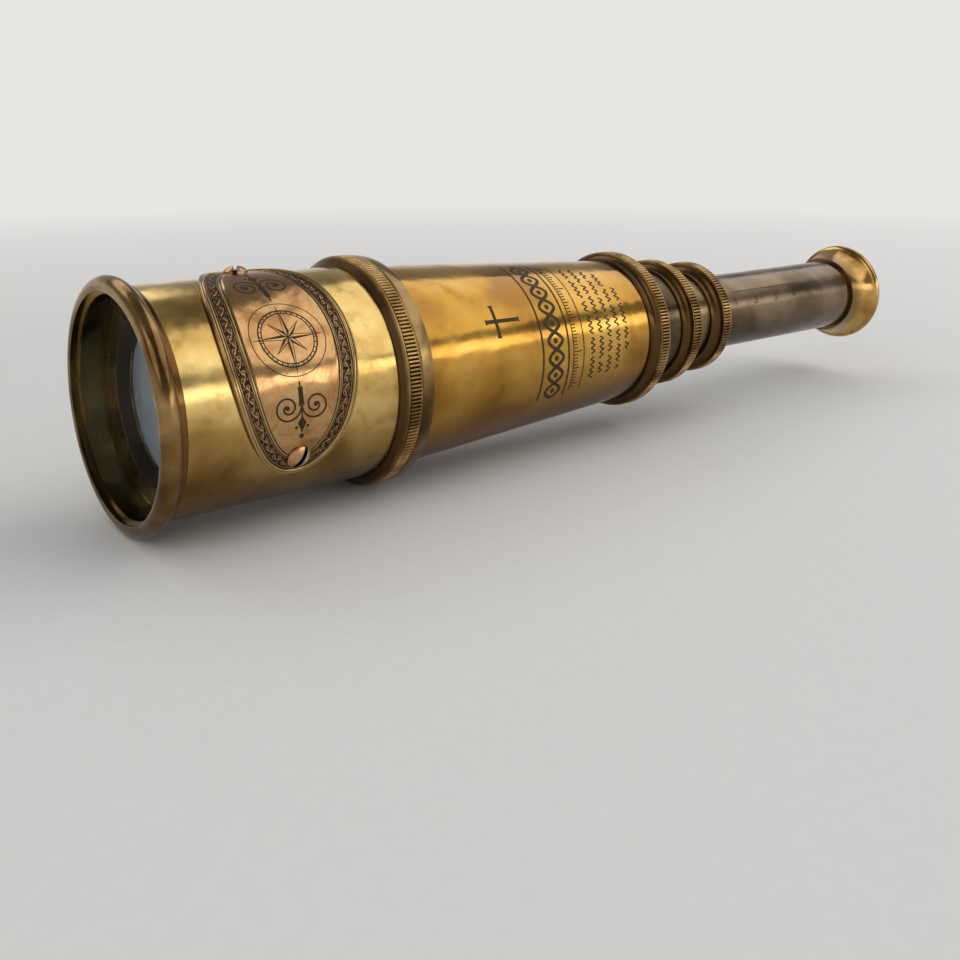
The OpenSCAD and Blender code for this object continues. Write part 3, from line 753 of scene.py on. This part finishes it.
# The strokes of the last draw's digits, in shares of their height.
DIGITS = [
    [[(0.1, 0.78), (0.38, 1), (0.38, 0)]],
    [[(0, 0.8), (0.2, 1), (0.5, 1), (0.7, 0.8), (0.68, 0.58), (0, 0), (0.72, 0)]],
    [[(0, 0.85), (0.2, 1), (0.5, 1), (0.68, 0.82), (0.6, 0.6), (0.35, 0.54)],
     [(0.35, 0.54), (0.62, 0.46), (0.7, 0.22), (0.5, 0), (0.2, 0), (0, 0.16)]],
    [[(0.52, 0), (0.52, 1), (0, 0.32), (0.75, 0.32)]],
]


def draw_scale():
    """A plain scale of 34 mm along the last draw, with the digits 1 to 4."""
    start, length, base = 192.0, 34, -2.6
    size = 2.1
    faces = ruled((start, base), (start + length, base), 0.2)
    for k in range(length + 1):
        x = start + k
        faces += polyline([(x, base), (x, base + tick(k, 1.0, 1.6, 2.2))], 0.16)
    for i, strokes in enumerate(DIGITS):
        for stroke in strokes:
            faces += polyline([(start + 10 * i + (u - 0.35) * size, 2.0 - v * size)
                               for u, v in stroke], 0.24)
    cut = engraving("draw_marks", (0.045, 0.036, 0.024), 0.6)
    lay("draw_marks", faces, on_draw, "draw_three", cut)


barrel_ornament()
plate_ornament()
draw_scale()


# Floor, world and lamps

PALE = (0.80, 0.79, 0.775)
FLOOR_MIDDLE_X = 130.0


def floor_material():
    """A pale matt floor that goes over to its own plain colour far from the object."""
    t = Surface("floor")
    grain = t.noise(t.scaled(), 0.4, 4, 0.6)
    t.finish(t.mix(grain, tuple(c * 0.93 for c in PALE), PALE), 0.75, metallic=0.0)
    t.bsdf.inputs["Specular IOR Level"].default_value = 0.2
    glow = t.add("Emission")
    t.put((*PALE, 1), glow.inputs["Color"])
    x, y, _ = t.axes()
    distance = t.hypotenuse(t.math("SUBTRACT", x, FLOOR_MIDDLE_X), y)
    away = t.times(t.step(distance, 240, 900), t.showing_rays())
    t.put(t.mix_shader(away, t.bsdf.outputs[0], glow.outputs[0]), t.out.inputs[0])
    return t.mat


def build_floor():
    bm = bmesh.new()
    middle = Vector((FLOOR_MIDDLE_X, 0, FLOOR_Z)) * MM
    around = 96
    rows = [[bm.verts.new(middle + Vector((a, b, 0))) for a, b in circle(r, around)]
            for r in (0.3, 0.8, 2.0, 8.0)]
    centre = bm.verts.new(middle)
    for i in range(around):
        bm.faces.new((centre, rows[0][i], rows[0][(i + 1) % around]))
    for a, b in zip(rows, rows[1:]):
        for i in range(around):
            after = (i + 1) % around
            bm.faces.new((a[i], b[i], b[after], a[after]))
    new_object("floor", bm, floor_material())


def build_world():
    """An even fill, but pale at the horizon and darker overhead for the rays that show it."""
    world = bpy.data.worlds.new("world")
    world.use_nodes = True
    scene.world = world
    t = Tree(world.node_tree)

    def background(color, strength):
        n = t.add("Background")
        t.put(color, n.inputs["Color"])
        n.inputs["Strength"].default_value = strength
        return n.outputs[0]

    way = t.add("SeparateXYZ")
    t.put(t.add("TexCoord").outputs["Generated"], way.inputs[0])
    sky = t.ramp(way.outputs["Z"], [(0.0, PALE), (0.14, PALE), (0.34, (0.30, 0.295, 0.29)),
                                    (1.0, (0.16, 0.158, 0.155))])
    both = t.mix_shader(t.showing_rays(), background((1, 1, 1, 1), 0.40), background(sky, 1.0))
    t.put(both, t.add("OutputWorld").inputs[0])


def lamp(name, azimuth, elevation, distance, size, power):
    """A soft box, azimuth degrees from +X towards +Y, aimed at the object's middle."""
    data = bpy.data.lights.new(name, "AREA")
    data.shape = "RECTANGLE"
    data.size, data.size_y = size
    data.energy = power
    o = bpy.data.objects.new(name, data)
    scene.collection.objects.link(o)
    a, e = math.radians(azimuth), math.radians(elevation)
    way = Vector((math.cos(a) * math.cos(e), math.sin(a) * math.cos(e), math.sin(e)))
    o.location = Vector((0.11, 0, 0)) + way * distance
    o.rotation_euler = (-way).to_track_quat("-Z", "Y").to_euler()


build_floor()
build_world()
lamp("overhead_softbox", -20, 50, 0.9, (1.4, 0.7), 3.6)
lamp("front_strip", -57, 15, 0.9, (0.9, 0.15), 0.9)
lamp("left_fill", 200, 35, 1.0, (0.6, 0.5), 1.2)
lamp("back_light", 100, 45, 1.0, (0.9, 0.4), 1.5)
